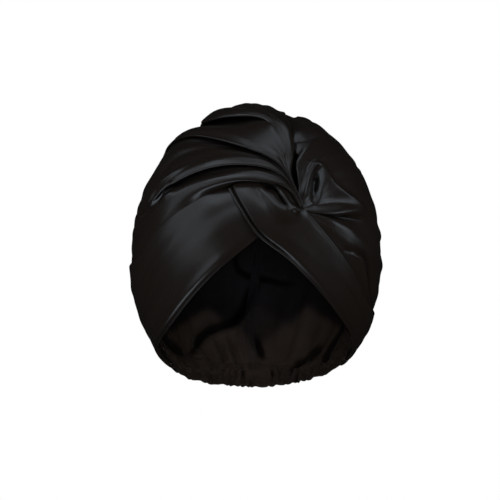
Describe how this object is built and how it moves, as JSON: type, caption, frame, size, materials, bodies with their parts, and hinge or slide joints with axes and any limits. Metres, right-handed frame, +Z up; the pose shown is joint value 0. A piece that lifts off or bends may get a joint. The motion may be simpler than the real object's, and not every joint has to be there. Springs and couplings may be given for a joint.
{
  "type": "twist-front head wrap",
  "caption": "Pre-tied satin head wrap in its worn form: front bands twisted over the forehead, pleated drapes over the crown, a bag at the back and a gathered hem at the nape.",
  "frame": {"origin": "middle of the head opening, level with the front corners of the hem, where a head sits", "axes": "+Z up along the head, -Y out of the face opening, +X to the right of the front view"},
  "size_m": [0.2172, 0.2285, 0.2459],
  "materials": {
    "band_satin": "black satin, soft sheen",
    "drape_satin": "black satin, soft sheen",
    "back_satin": "black satin, soft sheen",
    "seam_satin": "black satin, pressed seam",
    "casing_satin": "black satin, gathered"
  },
  "bodies": {
    "root": {"left_band": "band_satin", "right_band": "band_satin", "left_drape": "drape_satin", "right_drape": "drape_satin", "back_left": "back_satin", "back_right": "back_satin", "back_seam": "seam_satin", "hem_casing": "casing_satin"}
  },
  "joints": []
}
